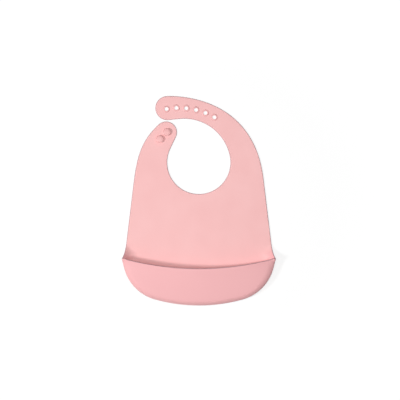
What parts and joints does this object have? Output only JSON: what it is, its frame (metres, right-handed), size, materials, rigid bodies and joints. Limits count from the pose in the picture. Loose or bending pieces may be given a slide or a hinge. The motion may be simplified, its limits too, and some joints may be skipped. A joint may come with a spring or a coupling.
{
  "type": "silicone bib",
  "caption": "Soft silicone bib with an open catch pocket along its lower edge and a neck ring that closes with studs and holes.",
  "frame": {"origin": "under the middle of the whole bib, at the level of its flat back", "axes": "+X across the bib towards the strap with holes, +Y up the bib from the pocket to the neck, +Z out of its front"},
  "size_m": [0.2232, 0.3046, 0.0245],
  "materials": {
    "silicone": "matte moulded"
  },
  "bodies": {
    "panel": {"lower_panel": "silicone", "pocket_fold": "silicone"},
    "pocket": {"pocket_wall": "silicone", "pocket_lip": "silicone"},
    "chest": {"upper_panel": "silicone"},
    "stud_side": {"stud_strap": "silicone"},
    "stud_end": {"stud_tab": "silicone", "upper_stud": "silicone", "lower_stud": "silicone"},
    "hole_shoulder": {"hole_strap_shoulder": "silicone"},
    "hole_side": {"hole_strap_side": "silicone"},
    "hole_back": {"hole_strap_back": "silicone"},
    "hole_end": {"hole_strap_tip": "silicone"}
  },
  "joints": [
    {"name": "chest_fold", "type": "hinge", "parent": "panel", "child": "chest", "pos_m": [0, -0.0203, 0.001], "axis": [1, 0, 0], "range_deg": [0, 90], "stiffness_Nm_per_rad": 0.004},
    {"name": "pocket_gape", "type": "hinge", "parent": "panel", "child": "pocket", "pos_m": [0, -0.1523, 0.006], "axis": [1, 0, 0], "range_deg": [0, 20], "stiffness_Nm_per_rad": 0.1},
    {"name": "hole_strap_lift", "type": "hinge", "parent": "chest", "child": "hole_shoulder", "pos_m": [0.06609, 0.06677, 0.001], "axis": [0.9848, 0.1736, 0], "range_deg": [0, 30], "stiffness_Nm_per_rad": 0.0022},
    {"name": "hole_strap_bend_2", "type": "hinge", "parent": "hole_shoulder", "child": "hole_side", "pos_m": [0.05301, 0.09613, 0.001], "axis": [0.8572, 0.515, 0], "range_deg": [0, 30], "stiffness_Nm_per_rad": 0.0022},
    {"name": "hole_strap_bend_3", "type": "hinge", "parent": "hole_side", "child": "hole_back", "pos_m": [0.03045, 0.11855, 0.001], "axis": [0.6118, 0.791, 0], "range_deg": [0, 30], "stiffness_Nm_per_rad": 0.0022},
    {"name": "hole_strap_bend_4", "type": "hinge", "parent": "hole_back", "child": "hole_end", "pos_m": [-0.01112, 0.13467, 0.001], "axis": [0.1243, 0.9922, 0], "range_deg": [0, 30], "stiffness_Nm_per_rad": 0.0022},
    {"name": "stud_strap_lift", "type": "hinge", "parent": "chest", "child": "stud_side", "pos_m": [-0.06795, 0.04372, 0.001], "axis": [0.9848, 0.1736, 0], "range_deg": [0, 35], "stiffness_Nm_per_rad": 0.0026},
    {"name": "stud_strap_bend_2", "type": "hinge", "parent": "stud_side", "child": "stud_end", "pos_m": [-0.06375, 0.07279, 0.001], "axis": [0.9659, -0.2588, 0], "range_deg": [0, 35], "stiffness_Nm_per_rad": 0.0026}
  ],
  "couplings": [
    {"joint": "hole_strap_bend_2", "follows": "hole_strap_lift", "ratio": 1},
    {"joint": "hole_strap_bend_3", "follows": "hole_strap_lift", "ratio": 1},
    {"joint": "hole_strap_bend_4", "follows": "hole_strap_lift", "ratio": 1},
    {"joint": "stud_strap_bend_2", "follows": "stud_strap_lift", "ratio": 1}
  ]
}
